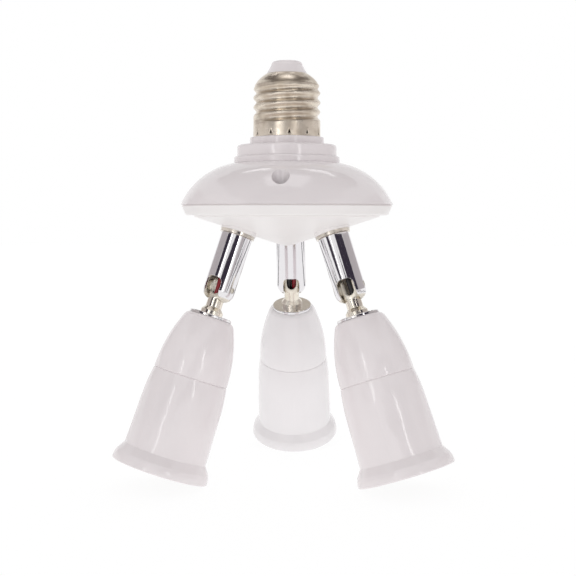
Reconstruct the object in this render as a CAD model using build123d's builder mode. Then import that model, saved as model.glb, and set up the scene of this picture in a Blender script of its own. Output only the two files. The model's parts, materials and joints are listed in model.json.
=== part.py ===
"""A three-way lamp socket adapter: a screw cap, a saucer housing and three arms with bulb holders.

Millimetres, +Z up. The origin is on the cap's axis where the metal cap shell meets the white neck.
Arms stand at equal angles round the axis. Each arm has its own frame at its pivot pin: local Z runs up
the tube to the housing, local X points the way the holder bends, and local Y is the pin's axis.
"""
import math
import os

from build123d import *

# Screw cap
THREAD_R = 13.1
THREAD_PITCH = 3.629
THREAD_DEPTH = 1.095
THREAD_FROM = 2.6
THREAD_TO = 20.6
SHEET = 0.4
SKIRT_TOP = 5.2
SHOULDER_TOP = 24.7
MOUTH_R = 8.0
CORE_R = THREAD_R - THREAD_DEPTH - SHEET - 0.05
CORE_BORE_R = 8.0
CORE_BORE_TOP = 18.0
TIP_TOP = 29.45
TIP_R = 6.1
CONTACT_R = 3.6
SHANK_R = 2.0
STAKES = 11
STAKE_ANGLE = 278
STAKE_R = 0.9
STAKE_DEEP = 0.3
STAKE_Z = 1.5
NEUTRAL_BAND_Z = 10.0
NEUTRAL_BAND_H = 4.0
NEUTRAL_SHANK_R = 1.2

# Saucer housing
NECK_R = 14.5
NECK_H = 3.0
COLLAR_R = 19.5
COLLAR_FOOT_R = 20.7
COLLAR_STEP_Z = -7.4
DOME_TOP_Z = -9.95
SEAM_Z = -26.25
DOME_MID_Z = SEAM_Z + 10.0
RIM_R = 41.7
DOME_MID_IN = 7.4
DOME_MID_R = RIM_R - DOME_MID_IN
WALL = 2.0
BAND_STEP = 0.5
BAND_R = RIM_R - BAND_STEP
CONE_R = 36.5
CONE_Z = SEAM_Z - 4.1
CONE_SLOPE = 18.0
CONE_NOSE_R = 2.6
LIP_GAP = 0.5
LIP_R = RIM_R - WALL - LIP_GAP
LIP_W = 2.4
LIP_H = 1.8
SCREW_INSET = 7.8
SCREW_RING_R = RIM_R - SCREW_INSET
SCREW_R = 1.5
SCREW_HEAD_R = 2.9
RECESS_R = 3.25
RECESS_FLOOR_Z = SEAM_Z + 5.2
TOWER_FOOT_Z = SEAM_Z + 2.2
SCREW_ANGLES = (30, 150, 270)

# Arms: angle round the axis, and how far each slot is turned from facing outwards
ARMS = {"left": (210, 33.0), "right": (330, 287.0), "back": (90, 182.5)}
ARM_TILT = 20.0
PIVOT_R = 28.63
PIVOT_Z = -57.98
TUBE_R = 6.1
TUBE_BORE_R = 5.1
TUBE_SHOULDER = 21.0
TUBE_END = -5.3
TUBE_END_FILLET = 3.9
TUBE_FLOOR = 1.3
SLOT_W = 6.7
SLOT_CORNER = 2.2
RING_R = 6.75
RING_H = 1.2
BOSS_R = 6.95
PAD_R = 9.4
PAD_TOP = 26.6
NIPPLE_R = 5.0
NIPPLE_BORE_R = 3.4
NIPPLE_TOP = 31.2
SWIVEL_NUT_H = 3.0
SWIVEL_NUT_FLATS = 14.0
SWIVEL_GAP = 0.1
FIT = 0.05

# Knuckles
NECK_STEM_R = 3.1
STEM_BORE_R = 2.1
EAR_ROOT = -1.0
FOOT_TOP = -8.0
FOOT_R = 4.35
FOOT_BASE = -11.0
SPIGOT_R = 4.0
LOCK_NUT_H = 3.5
LOCK_NUT_FLATS = 12.0
SPIGOT_END = -19.0
PIN_R = 1.1
PIN_SHOULDER_R = 1.9
WASHER_R = 8.25
WASHER_H = 1.0

# Bulb holders, heights measured from the pivot
CAP_TOP = FOOT_BASE - WASHER_H
CAP_CEILING = 2.4
CAP_MID_R = 12.8
CAP_MID = -22.5
HOLDER_SEAM = -36.0
SEAM_R = 14.4
HOLDER_WALL = 1.6
SWELL_R = 15.5
SWELL = -46.0
FLARE_TOP = -66.2
BARREL_R = 16.0
FLARE_FOOT = -69.2
HOLDER_END = -73.1
FLANGE_R = 18.75
SOCKET_R = 13.28
SOCKET_SHEET = 0.3
BASE_TOP = -45.5
BASE_H = 3.5
HUB_W = 7.0
HUB_L = 15.0
HUB_H = 1.5
SHELL_END = -67.0
SHELL_NECK_R = 12.4
SHELL_NECK_H = 6.0
SLEEVE_LIP_R = SEAM_R - HOLDER_WALL - 0.1
SLEEVE_LIP_H = 5.0
SHELL_MOUTH_R = 6.9
LIVE_RIVET = 3.2
NEUTRAL_RIVET = -8.7
RIVET_R = 1.1

# Wiring: an arm's live wire hangs on the side of its slot that this turn gives
WIRE_TURN = {"left": 180, "right": 180, "back": 0}
WIRE_R = 0.9
WIRE_OFFSET = 1.0
LIVE_RISE_R = 2.2
NEUTRAL_RISE_R = 5.8
LEAD_SPREAD = 1.2
LEAD_RISE = 5.5
LEAD_FOOT_Z = SEAM_Z + 11.0


def arm_frame(angle, turn):
    """The frame at an arm's pivot: Z up the tube, X the way the slot faces, Y along the pin."""
    around = math.radians(angle)
    tilt = math.radians(ARM_TILT)
    radial = Vector(math.cos(around), math.sin(around), 0)
    tangent = Vector(-math.sin(around), math.cos(around), 0)
    up = Vector(0, 0, math.cos(tilt)) - radial * math.sin(tilt)
    outward = radial * math.cos(tilt) + Vector(0, 0, math.sin(tilt))
    face = outward * math.cos(math.radians(turn)) + tangent * math.sin(math.radians(turn))
    origin = radial * PIVOT_R + Vector(0, 0, PIVOT_Z)
    return Plane(origin=origin, x_dir=face, z_dir=up)


def point(frame, x, y, z):
    """A point given in a frame's own coordinates."""
    return frame.origin + frame.x_dir * x + frame.y_dir * y + frame.z_dir * z


def level(frame, z):
    """The plane square to the arm at height z."""
    return Plane(origin=point(frame, 0, 0, z), x_dir=frame.x_dir, z_dir=frame.z_dir)


def section(frame):
    """The plane through the arm's axis, with sketch x as radius and sketch y as height."""
    return Plane(origin=frame.origin, x_dir=frame.x_dir, z_dir=-frame.y_dir)


def across(frame):
    """The plane square to the way the slot faces, with sketch x along the pin and sketch y up."""
    return Plane(origin=frame.origin, x_dir=frame.y_dir, z_dir=frame.x_dir)


def arm_axis(frame):
    """The tube's axis."""
    return Axis(frame.origin, frame.z_dir)


def turned(frame, outline):
    """A solid of revolution about the arm's axis from a closed outline of radius and height."""
    with BuildPart() as made:
        with BuildSketch(section(frame)):
            with BuildLine():
                Polyline(*outline, close=True)
            make_face()
        revolve(axis=arm_axis(frame))
    return made.part


def wire_along(points, bend):
    """A round insulated lead along straight runs joined by arcs."""
    with BuildPart() as made:
        with BuildLine() as route:
            FilletPolyline(*points, radius=bend)
        with BuildSketch(Plane(route.line @ 0, z_dir=route.line % 0)):
            Circle(WIRE_R)
        sweep(path=route.line)
    return made.part


def save(part, name):
    """Label one piece and write its file."""
    part.label = name
    export_step(part, f"parts/{name}.step")


os.makedirs("parts", exist_ok=True)
FRAMES = {name: arm_frame(*place) for name, place in ARMS.items()}
WIRED = {name: arm_frame(angle, turn + WIRE_TURN[name]) for name, (angle, turn) in ARMS.items()}
SCREW_SPOTS = [
    (SCREW_RING_R * math.cos(math.radians(a)), SCREW_RING_R * math.sin(math.radians(a)))
    for a in SCREW_ANGLES
]

# Cap shell: the rounded thread is a level disc carried round a small helix, then bored out to a thin cup
helix_r = THREAD_DEPTH / 2
disc_r = THREAD_R - helix_r
cup_r = CORE_R + 0.05
shoulder_foot = (disc_r - 0.2, THREAD_TO - 0.3)
with BuildPart() as cap_shell:
    with BuildLine() as thread_path:
        Helix(THREAD_PITCH, THREAD_TO - THREAD_FROM, helix_r, center=(0, 0, THREAD_FROM))
    with BuildSketch(Plane((helix_r, 0, THREAD_FROM))):
        Circle(disc_r)
    sweep(path=thread_path.line, normal=(0, 0, 1))
    with BuildSketch(Plane.XZ):
        with BuildLine():
            Polyline(
                (0, 0),
                (THREAD_R, 0),
                (THREAD_R, SKIRT_TOP - 0.3),
                (THREAD_R - 0.5, SKIRT_TOP + 0.3),
                (0, SKIRT_TOP + 0.3),
                close=True,
            )
        make_face()
    revolve(axis=Axis.Z)
    with BuildSketch(Plane.XZ):
        with BuildLine():
            ThreePointArc(shoulder_foot, (disc_r - 1.75, THREAD_TO + 2.0), (MOUTH_R, SHOULDER_TOP))
            Polyline((MOUTH_R, SHOULDER_TOP), (0, SHOULDER_TOP), (0, THREAD_TO - 0.3), shoulder_foot)
        make_face()
    revolve(axis=Axis.Z)
    with BuildSketch(Plane.XZ):
        with BuildLine():
            Polyline(
                (0, -1),
                (THREAD_R - SHEET, -1),
                (THREAD_R - SHEET, SKIRT_TOP - 0.7),
                (cup_r, SKIRT_TOP - 0.2),
                (cup_r, THREAD_TO + 0.2),
            )
            ThreePointArc(
                (cup_r, THREAD_TO + 0.2),
                (disc_r - 2.05, THREAD_TO + 1.7),
                (MOUTH_R, SHOULDER_TOP - SHEET),
            )
            Polyline(
                (MOUTH_R, SHOULDER_TOP - SHEET),
                (MOUTH_R, SHOULDER_TOP + 1),
                (0, SHOULDER_TOP + 1),
                (0, -1),
            )
        make_face()
    revolve(axis=Axis.Z, mode=Mode.SUBTRACT)
    with PolarLocations(THREAD_R + STAKE_DEEP, STAKES, start_angle=STAKE_ANGLE):
        with Locations(Location((0, 0, STAKE_Z), (0, -90, 0))):
            Cone(
                2 * STAKE_R,
                0.05,
                2 * STAKE_DEEP,
                align=(Align.CENTER, Align.CENTER, Align.MIN),
                mode=Mode.SUBTRACT,
            )
save(cap_shell.part, "cap_shell")

# Room inside the upper housing, less the three screw towers
room_top = (COLLAR_FOOT_R - WALL, DOME_TOP_Z - WALL)
with BuildPart() as upper_room:
    with BuildSketch(Plane.XZ):
        with BuildLine():
            Polyline(
                (0, CORE_BORE_TOP),
                (CORE_BORE_R, CORE_BORE_TOP),
                (CORE_BORE_R, -NECK_H - WALL),
                (COLLAR_R - WALL, -NECK_H - WALL),
                (COLLAR_R - WALL, COLLAR_STEP_Z - WALL),
                room_top,
            )
            ThreePointArc(room_top, (DOME_MID_R - WALL / 2, DOME_MID_Z - 0.8 * WALL), (RIM_R - WALL, SEAM_Z))
            Polyline((RIM_R - WALL, SEAM_Z), (0, SEAM_Z), (0, CORE_BORE_TOP))
        make_face()
    revolve(axis=Axis.Z)
    with BuildSketch(Plane.XY.offset(TOWER_FOOT_Z)):
        with Locations(*SCREW_SPOTS):
            Circle(RECESS_R + 1.5)
    extrude(amount=20, mode=Mode.SUBTRACT)

# Upper housing: cap core with its tip, neck, stepped collar and dome in one moulding
with BuildPart() as upper_housing:
    with BuildSketch(Plane.XZ):
        with BuildLine():
            Polyline((0, TIP_TOP), (TIP_R - 1.5, TIP_TOP))
            ThreePointArc((TIP_R - 1.5, TIP_TOP), (TIP_R - 0.45, TIP_TOP - 0.4), (TIP_R, TIP_TOP - 1.5))
            Polyline(
                (TIP_R, TIP_TOP - 1.5),
                (MOUTH_R - 0.05, SHOULDER_TOP),
                (MOUTH_R - 0.05, SHOULDER_TOP - 1.2),
                (CORE_R - 1.0, THREAD_TO + 0.6),
                (CORE_R, THREAD_TO - 0.6),
                (CORE_R, SKIRT_TOP - 0.2),
                (THREAD_R - SHEET - 0.05, SKIRT_TOP - 0.7),
                (THREAD_R - SHEET - 0.05, 0),
                (NECK_R - 0.3, 0),
                (NECK_R, -0.3),
                (NECK_R, -NECK_H),
                (COLLAR_R - 0.9, -NECK_H),
            )
            ThreePointArc(
                (COLLAR_R - 0.9, -NECK_H),
                (COLLAR_R - 0.26, -NECK_H - 0.26),
                (COLLAR_R, -NECK_H - 0.9),
            )
            Polyline(
                (COLLAR_R, -NECK_H - 0.9),
                (COLLAR_R, COLLAR_STEP_Z),
                (COLLAR_FOOT_R - 0.5, COLLAR_STEP_Z),
                (COLLAR_FOOT_R, COLLAR_STEP_Z - 0.5),
                (COLLAR_FOOT_R, DOME_TOP_Z),
            )
            ThreePointArc((COLLAR_FOOT_R, DOME_TOP_Z), (DOME_MID_R, DOME_MID_Z), (RIM_R, SEAM_Z))
            Polyline((RIM_R, SEAM_Z), (0, SEAM_Z), (0, TIP_TOP))
        make_face()
    revolve(axis=Axis.Z)
    add(upper_room.part, mode=Mode.SUBTRACT)
    with BuildSketch(Plane.XY.offset(RECESS_FLOOR_Z)):
        with Locations(*SCREW_SPOTS):
            Circle(RECESS_R)
    extrude(amount=20, mode=Mode.SUBTRACT)
    with BuildSketch(Plane.XY.offset(TOWER_FOOT_Z)):
        with Locations(*SCREW_SPOTS):
            Circle(SCREW_R + 0.2)
    extrude(amount=10, mode=Mode.SUBTRACT)
    with BuildSketch(Plane.XY.offset(TIP_TOP)):
        Circle(CONTACT_R)
    extrude(amount=-1.0, mode=Mode.SUBTRACT)
    with BuildSketch(Plane.XY.offset(TIP_TOP)):
        Circle(SHANK_R)
    extrude(amount=-14, mode=Mode.SUBTRACT)
    with BuildSketch(Plane.YZ.offset(CORE_BORE_R - 0.5)):
        with Locations((0, NEUTRAL_BAND_Z + NEUTRAL_BAND_H / 2)):
            Circle(NEUTRAL_SHANK_R)
    extrude(amount=CORE_R - CORE_BORE_R + 1.5, mode=Mode.SUBTRACT)
save(upper_housing.part, "upper_housing")

# Centre contact: a rivet through the white tip, upset inside where the live leads are soldered
with BuildPart() as cap_contact:
    with BuildSketch(Plane.XZ):
        with BuildLine():
            Polyline((0, TIP_TOP - 0.05), (CONTACT_R - 0.5, TIP_TOP - 0.05), (CONTACT_R, TIP_TOP - 0.4))
            Polyline((CONTACT_R, TIP_TOP - 0.4), (CONTACT_R, TIP_TOP - 1.0), (SHANK_R, TIP_TOP - 1.0))
            Polyline((SHANK_R, TIP_TOP - 1.0), (SHANK_R, CORE_BORE_TOP), (CONTACT_R, CORE_BORE_TOP))
            Polyline((CONTACT_R, CORE_BORE_TOP), (CONTACT_R, CORE_BORE_TOP - 1.2))
            Polyline((CONTACT_R, CORE_BORE_TOP - 1.2), (0, CORE_BORE_TOP - 1.2), (0, TIP_TOP - 0.05))
        make_face()
    revolve(axis=Axis.Z)
save(cap_contact.part, "cap_contact")

# Neutral ring: a brass band in the core's bore with a rivet out to the cap shell
with BuildPart() as neutral_ring:
    with BuildSketch(Plane.XY.offset(NEUTRAL_BAND_Z)):
        Circle(CORE_BORE_R)
        Circle(math.hypot(NEUTRAL_RISE_R, LEAD_SPREAD) + WIRE_R, mode=Mode.SUBTRACT)
    extrude(amount=NEUTRAL_BAND_H)
    with BuildSketch(Plane.YZ.offset(CORE_BORE_R - 0.5)):
        with Locations((0, NEUTRAL_BAND_Z + NEUTRAL_BAND_H / 2)):
            Circle(NEUTRAL_SHANK_R)
    extrude(amount=CORE_R - CORE_BORE_R + 0.5)
save(neutral_ring.part, "neutral_ring")

# Room inside the lower cover, less the screw pillars and the pads round the tube holes
floor_drop = WALL / math.cos(math.radians(CONE_SLOPE))
slope = math.tan(math.radians(CONE_SLOPE))
nose_ball = CONE_NOSE_R / math.sin(math.radians(CONE_SLOPE))
nose_z = CONE_Z - 0.6 - (CONE_R - 0.2 - CONE_NOSE_R) * slope
nose_centre_z = nose_z + nose_ball * math.cos(math.radians(CONE_SLOPE))
nose_middle = (
    nose_ball * math.sin(math.radians(CONE_SLOPE / 2)),
    nose_centre_z - nose_ball * math.cos(math.radians(CONE_SLOPE / 2)),
)
nose_tip_z = nose_centre_z - nose_ball
with BuildPart() as lower_room:
    with BuildSketch(Plane.XZ):
        with BuildLine():
            Polyline(
                (0, SEAM_Z + 5),
                (LIP_R - LIP_W, SEAM_Z + 5),
                (LIP_R - LIP_W, CONE_Z + WALL),
                (CONE_R - 1.0, CONE_Z - 0.6 + floor_drop),
                (0, CONE_Z - 0.6 + floor_drop - (CONE_R - 1.0) * slope),
                close=True,
            )
        make_face()
    revolve(axis=Axis.Z)
    for frame in FRAMES.values():
        with BuildSketch(level(frame, PAD_TOP)):
            Circle(PAD_R)
        extrude(amount=-8, mode=Mode.SUBTRACT)
    with BuildSketch(Plane.XY.offset(TOWER_FOOT_Z)):
        with Locations(*SCREW_SPOTS):
            Circle(SCREW_R + 2.1)
    extrude(amount=-14, mode=Mode.SUBTRACT)

# Lower cover: side band, step, shallow cone, three round bosses and an upstanding lip
with BuildPart() as lower_cover:
    with BuildSketch(Plane.XZ):
        with BuildLine():
            Polyline(
                (0, SEAM_Z),
                (LIP_R - LIP_W - 1.0, SEAM_Z),
                (LIP_R - LIP_W - 1.0, SEAM_Z + LIP_H),
                (LIP_R - 1.0, SEAM_Z + LIP_H),
                (LIP_R, SEAM_Z),
                (BAND_R - 0.4, SEAM_Z),
                (BAND_R, SEAM_Z - 0.5),
                (BAND_R - 1.1, SEAM_Z - 3.1),
            )
            ThreePointArc(
                (BAND_R - 1.1, SEAM_Z - 3.1),
                (BAND_R - 1.55, SEAM_Z - 3.8),
                (BAND_R - 2.3, CONE_Z),
            )
            Polyline(
                (BAND_R - 2.3, CONE_Z),
                (CONE_R, CONE_Z),
                (CONE_R - 0.2, CONE_Z - 0.6),
                (CONE_NOSE_R, nose_z),
            )
            ThreePointArc((CONE_NOSE_R, nose_z), nose_middle, (0, nose_tip_z))
            Polyline((0, nose_tip_z), (0, SEAM_Z))
        make_face()
    revolve(axis=Axis.Z)
    for frame in FRAMES.values():
        with BuildSketch(level(frame, TUBE_SHOULDER + RING_H)):
            Circle(BOSS_R)
        extrude(amount=4)
    add(lower_room.part, mode=Mode.SUBTRACT)
    with BuildSketch(Plane.XY.offset(TOWER_FOOT_Z)):
        with Locations(*SCREW_SPOTS):
            Circle(SCREW_R + 2.1)
    extrude(amount=-3)
    with BuildSketch(Plane.XY.offset(TOWER_FOOT_Z)):
        with Locations(*SCREW_SPOTS):
            Circle(SCREW_R)
    extrude(amount=-5.2, mode=Mode.SUBTRACT)
    for frame in FRAMES.values():
        with BuildSketch(level(frame, TUBE_SHOULDER)):
            Circle(NIPPLE_R + FIT)
        extrude(amount=8, mode=Mode.SUBTRACT)
save(lower_cover.part, "lower_cover")

# Housing screws: pan heads on the recess floors, shanks down into the cover's pillars
with BuildPart() as housing_screws:
    with BuildSketch(Plane.XY.offset(RECESS_FLOOR_Z)):
        with Locations(*SCREW_SPOTS):
            Circle(SCREW_HEAD_R)
    extrude(amount=1.9)
    fillet(housing_screws.faces().sort_by(Axis.Z)[-3:].edges(), 0.7)
    with BuildSketch(Plane.XY.offset(RECESS_FLOOR_Z)):
        with Locations(*SCREW_SPOTS):
            Circle(SCREW_R)
    extrude(amount=-7.6)
    with BuildSketch(Plane.XY.offset(RECESS_FLOOR_Z + 1.9)):
        with Locations(*SCREW_SPOTS):
            Rectangle(3.4, 0.7)
            Rectangle(0.7, 3.4)
    extrude(amount=-1.0, mode=Mode.SUBTRACT)
save(housing_screws.part, "housing_screws")


def make_tube(frame):
    """A chromed tube: threaded nipple, shoulder, rounded end, and the slot for the knuckle's swing."""
    with BuildPart() as made:
        with BuildSketch(section(frame)):
            with BuildLine():
                Polyline(
                    (NIPPLE_BORE_R, NIPPLE_TOP),
                    (NIPPLE_R - 0.4, NIPPLE_TOP),
                    (NIPPLE_R, NIPPLE_TOP - 0.4),
                    (NIPPLE_R, TUBE_SHOULDER),
                    (TUBE_R - 0.3, TUBE_SHOULDER),
                    (TUBE_R, TUBE_SHOULDER - 0.3),
                    (TUBE_R, TUBE_END + TUBE_END_FILLET),
                )
                RadiusArc(
                    (TUBE_R, TUBE_END + TUBE_END_FILLET),
                    (TUBE_R - TUBE_END_FILLET, TUBE_END),
                    TUBE_END_FILLET,
                )
                Polyline((TUBE_R - TUBE_END_FILLET, TUBE_END), (0, TUBE_END), (0, TUBE_END + TUBE_FLOOR))
                inner = TUBE_END_FILLET - TUBE_FLOOR + 0.3
                Polyline((0, TUBE_END + TUBE_FLOOR), (TUBE_BORE_R - inner, TUBE_END + TUBE_FLOOR))
                RadiusArc(
                    (TUBE_BORE_R - inner, TUBE_END + TUBE_FLOOR),
                    (TUBE_BORE_R, TUBE_END + TUBE_FLOOR + inner),
                    -inner,
                )
                Polyline(
                    (TUBE_BORE_R, TUBE_END + TUBE_FLOOR + inner),
                    (TUBE_BORE_R, TUBE_SHOULDER - 3.2),
                    (NIPPLE_BORE_R, TUBE_SHOULDER - 1.5),
                    (NIPPLE_BORE_R, NIPPLE_TOP),
                )
            make_face()
        revolve(axis=arm_axis(frame))
        with BuildSketch(across(frame)) as slot:
            with Locations((0, -3.5)):
                Rectangle(SLOT_W, SLOT_W + 7.0)
            fillet(slot.vertices().sort_by(Axis.Y)[-2:], SLOT_CORNER)
        extrude(amount=TUBE_R + 1, mode=Mode.SUBTRACT)
        with BuildSketch(level(frame, TUBE_END - 1)):
            Circle(SLOT_W / 2)
        extrude(amount=4, mode=Mode.SUBTRACT)
        with BuildSketch(section(frame)):
            Circle(PIN_R)
        extrude(amount=TUBE_R + 1, both=True, mode=Mode.SUBTRACT)
    return made.part


def make_pins(frame):
    """Two stepped stub pins: a shoulder between ear and tube wall, ends flush with the tube."""
    with BuildPart() as made:
        for side in (1, -1):
            with BuildSketch(section(frame).offset(side * STEM_BORE_R)):
                Circle(PIN_R)
            extrude(amount=side * (TUBE_R - STEM_BORE_R))
            with BuildSketch(section(frame).offset(side * (NECK_STEM_R + 0.1))):
                Circle(PIN_SHOULDER_R)
            extrude(amount=side * 1.5)
        with BuildSketch(level(frame, -TUBE_R)):
            Circle(TUBE_R)
        extrude(amount=2 * TUBE_R, mode=Mode.INTERSECT)
    return made.part


def make_knuckle(frame):
    """A hollow stem with two round ears, a flared foot and a spigot through the holder's cap."""
    with BuildPart() as made:
        with BuildSketch(section(frame)):
            with BuildLine():
                Polyline(
                    (STEM_BORE_R, NECK_STEM_R),
                    (NECK_STEM_R, NECK_STEM_R),
                    (NECK_STEM_R, FOOT_TOP),
                    (FOOT_R, FOOT_TOP - 1.5),
                    (FOOT_R, FOOT_BASE),
                    (SPIGOT_R, FOOT_BASE),
                    (SPIGOT_R, SPIGOT_END + 0.5),
                    (SPIGOT_R - 0.5, SPIGOT_END),
                    (STEM_BORE_R, SPIGOT_END),
                    close=True,
                )
            make_face()
        revolve(axis=arm_axis(frame))
        with BuildSketch(across(frame)):
            with Locations((0, EAR_ROOT + 3)):
                Rectangle(2 * STEM_BORE_R, 6)
            with Locations((0, EAR_ROOT)):
                Circle(STEM_BORE_R)
        extrude(amount=NECK_STEM_R + 1, both=True, mode=Mode.SUBTRACT)
        with BuildSketch(section(frame)):
            with Locations((0, NECK_STEM_R / 2 + 0.5)):
                Rectangle(4 * NECK_STEM_R, NECK_STEM_R + 1)
            Circle(NECK_STEM_R, mode=Mode.SUBTRACT)
        extrude(amount=NECK_STEM_R + 1, both=True, mode=Mode.SUBTRACT)
        with BuildSketch(section(frame)):
            Circle(PIN_R + FIT)
        extrude(amount=NECK_STEM_R + 1, both=True, mode=Mode.SUBTRACT)
    return made.part


def make_nut(frame, bottom, height, bore, across_flats):
    """A plain hexagon nut standing on a level of the arm."""
    with BuildPart() as made:
        with BuildSketch(level(frame, bottom)):
            RegularPolygon(across_flats / 2, 6, major_radius=False)
            Circle(bore, mode=Mode.SUBTRACT)
        extrude(amount=height)
    return made.part


def make_holder_cap(frame):
    """The bell over the terminals: flat seat for the washer, rounded shoulder and swelling side."""
    edge_r = SEAM_R - HOLDER_WALL
    with BuildPart() as made:
        with BuildSketch(section(frame)):
            with BuildLine():
                Polyline((SPIGOT_R + 0.05, CAP_TOP), (7.8, CAP_TOP))
                ThreePointArc((7.8, CAP_TOP), (9.2, CAP_TOP - 0.6), (9.9, CAP_TOP - 1.7))
                ThreePointArc((9.9, CAP_TOP - 1.7), (CAP_MID_R, CAP_MID), (SEAM_R, HOLDER_SEAM + 0.3))
                Polyline(
                    (SEAM_R, HOLDER_SEAM + 0.3),
                    (SEAM_R - 0.25, HOLDER_SEAM),
                    (edge_r, HOLDER_SEAM),
                    (edge_r, HOLDER_SEAM + SLEEVE_LIP_H + 0.5),
                    (edge_r - 0.6, HOLDER_SEAM + SLEEVE_LIP_H + 1.1),
                )
                ThreePointArc(
                    (edge_r - 0.6, HOLDER_SEAM + SLEEVE_LIP_H + 1.1),
                    (CAP_MID_R - HOLDER_WALL, CAP_MID),
                    (8.2, CAP_TOP - CAP_CEILING),
                )
                Polyline(
                    (8.2, CAP_TOP - CAP_CEILING),
                    (SPIGOT_R + 0.05, CAP_TOP - CAP_CEILING),
                    (SPIGOT_R + 0.05, CAP_TOP),
                )
            make_face()
        revolve(axis=arm_axis(frame))
    return made.part


def make_holder_sleeve(frame):
    """The barrel round the screw shell, with a lip up inside the cap and a flared mouth."""
    bore = SOCKET_R + SOCKET_SHEET + 0.05
    with BuildPart() as made:
        with BuildSketch(section(frame)):
            with BuildLine():
                Polyline(
                    (SLEEVE_LIP_R - 1.3, BASE_TOP),
                    (SLEEVE_LIP_R - 1.3, HOLDER_SEAM + SLEEVE_LIP_H),
                    (SLEEVE_LIP_R, HOLDER_SEAM + SLEEVE_LIP_H),
                    (SLEEVE_LIP_R, HOLDER_SEAM),
                    (SEAM_R - 0.2, HOLDER_SEAM),
                    (SEAM_R + 0.05, HOLDER_SEAM - 0.3),
                )
                swell_mid = ((SEAM_R + SWELL_R) / 2 + 0.2, (HOLDER_SEAM + SWELL) / 2)
                ThreePointArc((SEAM_R + 0.05, HOLDER_SEAM - 0.3), swell_mid, (SWELL_R, SWELL))
                Polyline((SWELL_R, SWELL), (BARREL_R, FLARE_TOP), (FLANGE_R - 0.75, FLARE_FOOT))
                ThreePointArc(
                    (FLANGE_R - 0.75, FLARE_FOOT),
                    (FLANGE_R - 0.15, (FLARE_FOOT + HOLDER_END) / 2),
                    (FLANGE_R, HOLDER_END + 0.4),
                )
                Polyline(
                    (FLANGE_R, HOLDER_END + 0.4),
                    (FLANGE_R - 0.3, HOLDER_END),
                    (FLANGE_R - 1.6, HOLDER_END),
                    (FLANGE_R - 2.1, FLARE_FOOT - 0.3),
                    (bore + 0.5, FLARE_TOP - 0.9),
                    (bore, FLARE_TOP + 0.6),
                    (bore, BASE_TOP),
                    (SLEEVE_LIP_R - 1.3, BASE_TOP),
                )
            make_face()
        revolve(axis=arm_axis(frame))
    return made.part


def make_contact_base(frame):
    """The insulating disc under the ledge, with a raised hub and holes for the two rivets."""
    with BuildPart() as made:
        with BuildSketch(level(frame, BASE_TOP - BASE_H)):
            Circle(SOCKET_R + SOCKET_SHEET)
        extrude(amount=BASE_H)
        with BuildSketch(level(frame, BASE_TOP)):
            Rectangle(HUB_W, HUB_L)
        extrude(amount=HUB_H)
        with BuildSketch(level(frame, BASE_TOP - BASE_H)):
            with Locations((0, LIVE_RIVET), (0, NEUTRAL_RIVET)):
                Circle(RIVET_R)
        extrude(amount=BASE_H + 1.5, mode=Mode.SUBTRACT)
        with BuildSketch(level(frame, BASE_TOP)):
            with Locations((0, NEUTRAL_RIVET)):
                Circle(2.3)
        extrude(amount=1.5, mode=Mode.SUBTRACT)
    return made.part


def make_screw_shell(frame):
    """The plain wall of the threaded shell, drawn in round the tongue and turned in under the disc."""
    top = BASE_TOP - BASE_H
    step = top - SHELL_NECK_H
    with BuildPart() as made:
        with BuildSketch(section(frame)):
            with BuildLine():
                Polyline(
                    (SHELL_MOUTH_R, top),
                    (SHELL_NECK_R + SOCKET_SHEET, top),
                    (SHELL_NECK_R + SOCKET_SHEET, step + 0.3),
                    (SOCKET_R + SOCKET_SHEET, step - 0.3),
                    (SOCKET_R + SOCKET_SHEET, SHELL_END),
                    (SOCKET_R, SHELL_END),
                    (SOCKET_R, step - 0.5),
                    (SHELL_NECK_R, step + 0.1),
                    (SHELL_NECK_R, top - 0.4),
                    (SHELL_MOUTH_R, top - 0.4),
                    close=True,
                )
            make_face()
        revolve(axis=arm_axis(frame))
        with BuildSketch(level(frame, top - 1)):
            with Locations((0, NEUTRAL_RIVET)):
                Circle(RIVET_R)
        extrude(amount=2, mode=Mode.SUBTRACT)
    return made.part


def make_tongue(frame):
    """The spring tongue: a foot under the centre rivet, folded down and back to meet the bulb."""
    top = BASE_TOP - BASE_H
    with BuildPart() as made:
        with BuildSketch(across(frame)):
            with BuildLine() as path:
                FilletPolyline(
                    (5.4, top - 0.2),
                    (-4.2, top - 0.2),
                    (-5.0, top - 1.6),
                    (1.6, top - 4.6),
                    (3.4, top - 3.4),
                    radius=0.5,
                )
            trace(path.line, line_width=0.4)
        extrude(amount=2.4, both=True)
        with BuildSketch(level(frame, top - 0.5)):
            with Locations((0, LIVE_RIVET)):
                Circle(RIVET_R)
        extrude(amount=1, mode=Mode.SUBTRACT)
    return made.part


def make_rivets(frame):
    """The live rivet through the tongue and the neutral rivet through the shell's turned-in top."""
    top = BASE_TOP - BASE_H
    with BuildPart() as made:
        for y, head in ((LIVE_RIVET, BASE_TOP + 1.5), (NEUTRAL_RIVET, BASE_TOP)):
            with BuildSketch(level(frame, top - 0.4)):
                with Locations((0, y)):
                    Circle(RIVET_R)
            extrude(amount=head - top + 0.4)
            with BuildSketch(level(frame, head)):
                with Locations((0, y)):
                    Circle(RIVET_R + 0.7)
            extrude(amount=0.8)
            with BuildSketch(level(frame, top - 0.4)):
                with Locations((0, y)):
                    Circle(RIVET_R + 0.5)
            extrude(amount=-0.6)
    return made.part


def arm_wire(frame, side, end_y, end_z):
    """One lead from the nipple's mouth down the tube and stem to its rivet in the holder."""
    start = point(frame, 0, side * WIRE_OFFSET, NIPPLE_TOP)
    leave = point(frame, 0, side * WIRE_OFFSET, SPIGOT_END - 3.0)
    turn = point(frame, 0, end_y, end_z + 9.0)
    end = point(frame, 0, end_y, end_z)
    return wire_along([start, leave, turn, end], 4.0)


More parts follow.
